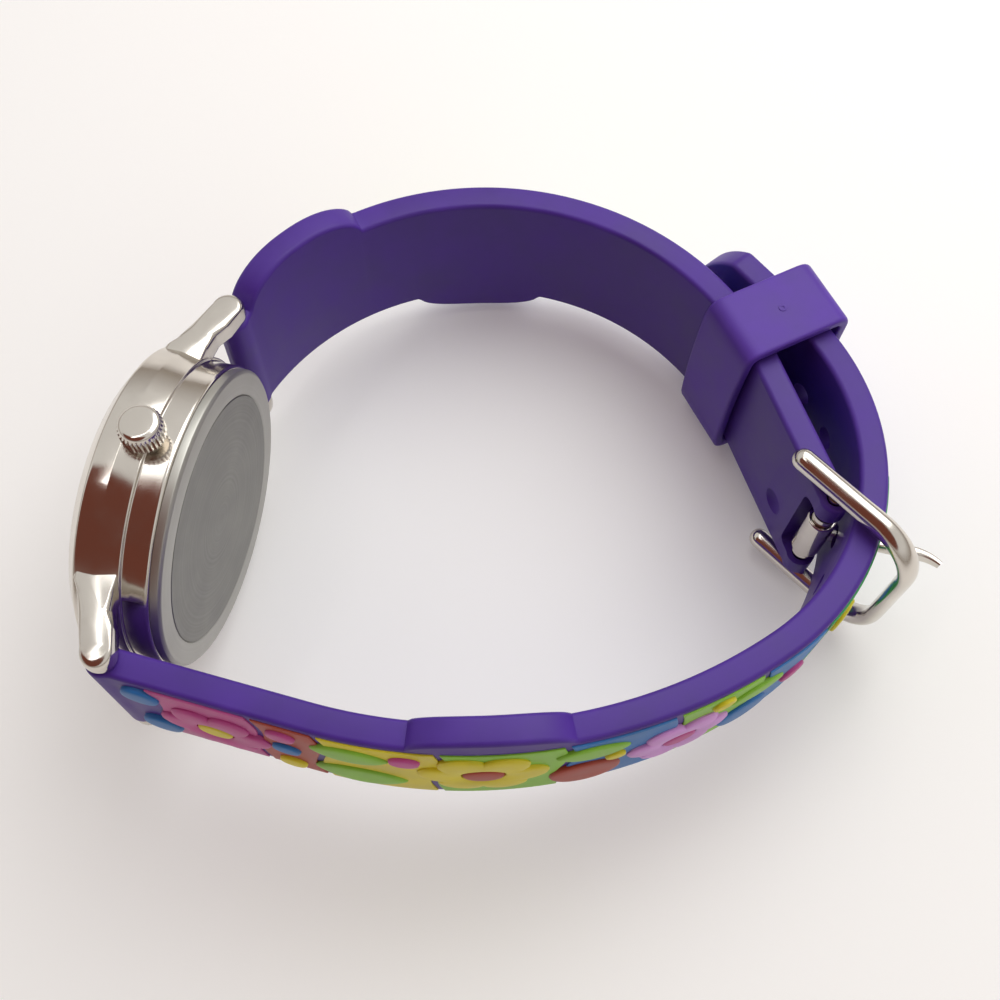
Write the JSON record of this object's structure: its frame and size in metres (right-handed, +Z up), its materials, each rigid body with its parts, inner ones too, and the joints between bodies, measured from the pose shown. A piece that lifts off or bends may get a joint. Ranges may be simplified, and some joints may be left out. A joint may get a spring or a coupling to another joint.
{
  "type": "toy watch",
  "caption": "Child's buckled quartz wrist watch lying on its side: round metal case with crown, soft bent strap with raised coloured flowers, loose keeper and wire buckle with tang.",
  "frame": {"origin": "middle of the case back's flat outer face", "axes": "+Z up from the surface that the watch lies on, +X from the case towards the buckle, +Y towards twelve o'clock; the watch lies tipped by the roll and lean that its three resting points give"},
  "size_m": [0.0811, 0.0638, 0.0362],
  "materials": {
    "polished_steel": "polished plating",
    "satin_steel": "satin",
    "gasket_rubber": "matt",
    "crystal": "polished",
    "crystal_seal": "smooth",
    "dial_paint": "satin paint",
    "blue_paint": "gloss paint",
    "magenta_paint": "gloss paint",
    "yellow_paint": "gloss paint",
    "holder_plastic": "moulded",
    "movement_brass": "stamped",
    "movement_steel": "stamped",
    "copper_wire": "wound wire",
    "board": "coated",
    "purple_pvc": "moulded, satin",
    "pink_pvc": "moulded, satin",
    "yellow_pvc": "moulded, satin",
    "lime_pvc": "moulded, satin",
    "blue_pvc": "moulded, satin",
    "red_pvc": "moulded, satin",
    "lilac_pvc": "moulded, satin"
  },
  "bodies": {
    "head": {"case_body": "polished_steel", "case_back": "satin_steel", "back_gasket": "gasket_rubber", "crystal": "crystal", "crystal_gasket": "crystal_seal", "dial": "dial_paint", "hour_markers": "blue_paint", "movement_holder": "holder_plastic", "main_plate": "movement_brass", "train_bridge": "movement_brass", "bridge_screws": "movement_steel", "circuit_board": "board", "quartz_can": "movement_steel", "coil": "copper_wire", "stator": "movement_steel", "button_cell": "movement_steel", "cell_clip": "movement_steel", "crown_tube": "movement_steel", "lug_bar_twelve": "movement_steel", "lug_bar_six": "movement_steel"},
    "second": {"second_wheel": "movement_brass", "second_hand": "yellow_paint"},
    "third": {"third_wheel": "movement_brass"},
    "centre": {"centre_wheel": "movement_brass", "minute_hand": "blue_paint"},
    "minute": {"minute_wheel": "movement_brass"},
    "hour": {"hour_wheel": "movement_brass", "hour_hand": "magenta_paint"},
    "fifth": {"fifth_wheel": "holder_plastic"},
    "rotor": {"rotor": "movement_steel"},
    "crown_slide": {"setting_lever": "movement_steel"},
    "crown": {"crown": "polished_steel", "crown_stem": "movement_steel", "clutch_wheel": "movement_brass", "crown_gasket": "gasket_rubber"},
    "buckle_strap": {"buckle_strap": "purple_pvc", "buckle_strap_pink": "pink_pvc", "buckle_strap_yellow": "yellow_pvc", "buckle_strap_lime": "lime_pvc", "buckle_strap_blue": "blue_pvc"},
    "tail_strap": {"tail_strap": "purple_pvc", "tail_pink": "pink_pvc", "tail_yellow": "yellow_pvc", "tail_lime": "lime_pvc", "tail_red": "red_pvc", "tail_blue": "blue_pvc", "tail_lilac": "lilac_pvc"},
    "keeper": {"keeper": "purple_pvc"},
    "buckle": {"buckle_frame": "polished_steel", "buckle_bar": "polished_steel"},
    "tang": {"tang": "polished_steel"},
    "tip_twelve_crown": {"bar_tip_twelve_crown": "movement_steel"},
    "tip_twelve_rest": {"bar_tip_twelve_rest": "movement_steel"},
    "tip_six_crown": {"bar_tip_six_crown": "movement_steel"},
    "tip_six_rest": {"bar_tip_six_rest": "movement_steel"},
    "buckle_tip_crown": {"buckle_tip_crown": "movement_steel"},
    "buckle_tip_rest": {"buckle_tip_rest": "movement_steel"}
  },
  "joints": [
    {"name": "second_hand_turn", "type": "hinge", "parent": "head", "child": "second", "pos_m": [-0.00399, 0, 0.00026], "axis": [0.9979, 0, -0.0651], "continuous": true},
    {"name": "third_wheel_turn", "type": "hinge", "parent": "head", "child": "third", "pos_m": [-0.00386, -0.00274, 0.00227], "axis": [0.9979, 0, -0.0651], "continuous": true},
    {"name": "minute_hand_turn", "type": "hinge", "parent": "head", "child": "centre", "pos_m": [-0.00399, 0, 0.00026], "axis": [0.9979, 0, -0.0651], "continuous": true},
    {"name": "minute_wheel_turn", "type": "hinge", "parent": "head", "child": "minute", "pos_m": [-0.00379, 0.00034, 0.00336], "axis": [0.9979, 0, -0.0651], "continuous": true},
    {"name": "hour_hand_turn", "type": "hinge", "parent": "head", "child": "hour", "pos_m": [-0.00399, 0, 0.00026], "axis": [0.9979, 0, -0.0651], "continuous": true},
    {"name": "fifth_wheel_turn", "type": "hinge", "parent": "head", "child": "fifth", "pos_m": [-0.0039, 0.0032, 0.00167], "axis": [0.9979, 0, -0.0651], "continuous": true},
    {"name": "rotor_turn", "type": "hinge", "parent": "head", "child": "rotor", "pos_m": [-0.00384, 0.0054, 0.00263], "axis": [0.9979, 0, -0.0651], "continuous": true},
    {"name": "crown_pull", "type": "slide", "parent": "head", "child": "crown_slide", "axis": [0.0647, 0.1088, 0.9919], "range_m": [0, 0.001]},
    {"name": "crown_turn", "type": "hinge", "parent": "crown_slide", "child": "crown", "pos_m": [-0.00292, 0.00163, 0.01513], "axis": [0.0647, 0.1088, 0.9919], "continuous": true},
    {"name": "buckle_strap_sway", "type": "hinge", "parent": "head", "child": "buckle_strap", "pos_m": [-0.00352, 0.01819, -0.00177], "axis": [0.0647, 0.1088, 0.9919], "range_deg": [-0.6, 0.5], "stiffness_Nm_per_rad": 2},
    {"name": "tail_strap_sway", "type": "hinge", "parent": "head", "child": "tail_strap", "pos_m": [-0.00326, -0.01819, 0.00221], "axis": [0.0647, 0.1088, 0.9919], "range_deg": [-0.6, 0.5]},
    {"name": "buckle_swing", "type": "hinge", "parent": "buckle_strap", "child": "buckle", "pos_m": [0.05803, 0.01231, -0.00514], "axis": [0.0647, 0.1088, 0.9919], "range_deg": [-6, 14]},
    {"name": "tang_swing", "type": "hinge", "parent": "buckle_strap", "child": "tang", "pos_m": [0.05803, 0.01231, -0.00514], "axis": [0.0647, 0.1088, 0.9919], "range_deg": [-5.5, 0.5]},
    {"name": "keeper_slide", "type": "hinge", "parent": "buckle_strap", "child": "keeper", "pos_m": [0.02477, 0.01065, -0.00279], "axis": [0.0647, 0.1088, 0.9919], "range_deg": [0, 9]},
    {"name": "tip_twelve_crown_press", "type": "slide", "parent": "head", "child": "tip_twelve_crown", "axis": [-0.0647, -0.1088, -0.9919], "range_m": [0, 0.0012], "stiffness_N_per_m": 300, "springref_m": -0.001},
    {"name": "tip_twelve_rest_press", "type": "slide", "parent": "head", "child": "tip_twelve_rest", "axis": [0.0647, 0.1088, 0.9919], "range_m": [0, 0.0012], "stiffness_N_per_m": 300, "springref_m": -0.001},
    {"name": "tip_six_crown_press", "type": "slide", "parent": "head", "child": "tip_six_crown", "axis": [-0.0647, -0.1088, -0.9919], "range_m": [0, 0.0012], "stiffness_N_per_m": 300, "springref_m": -0.001},
    {"name": "tip_six_rest_press", "type": "slide", "parent": "head", "child": "tip_six_rest", "axis": [0.0647, 0.1088, 0.9919], "range_m": [0, 0.0012], "stiffness_N_per_m": 300, "springref_m": -0.001},
    {"name": "buckle_tip_crown_press", "type": "slide", "parent": "buckle", "child": "buckle_tip_crown", "axis": [-0.0647, -0.1088, -0.9919], "range_m": [0, 0.0012], "stiffness_N_per_m": 300, "springref_m": -0.001},
    {"name": "buckle_tip_rest_press", "type": "slide", "parent": "buckle", "child": "buckle_tip_rest", "axis": [0.0647, 0.1088, 0.9919], "range_m": [0, 0.0012], "stiffness_N_per_m": 300, "springref_m": -0.001}
  ],
  "couplings": [
    {"joint": "rotor_turn", "follows": "second_hand_turn", "ratio": 30},
    {"joint": "fifth_wheel_turn", "follows": "second_hand_turn", "ratio": -6},
    {"joint": "third_wheel_turn", "follows": "second_hand_turn", "ratio": -0.13333},
    {"joint": "minute_hand_turn", "follows": "second_hand_turn", "ratio": 0.016667},
    {"joint": "minute_wheel_turn", "follows": "second_hand_turn", "ratio": -0.0055556},
    {"joint": "hour_hand_turn", "follows": "second_hand_turn", "ratio": 0.0013889},
    {"joint": "tail_strap_sway", "follows": "buckle_strap_sway", "ratio": 1}
  ]
}
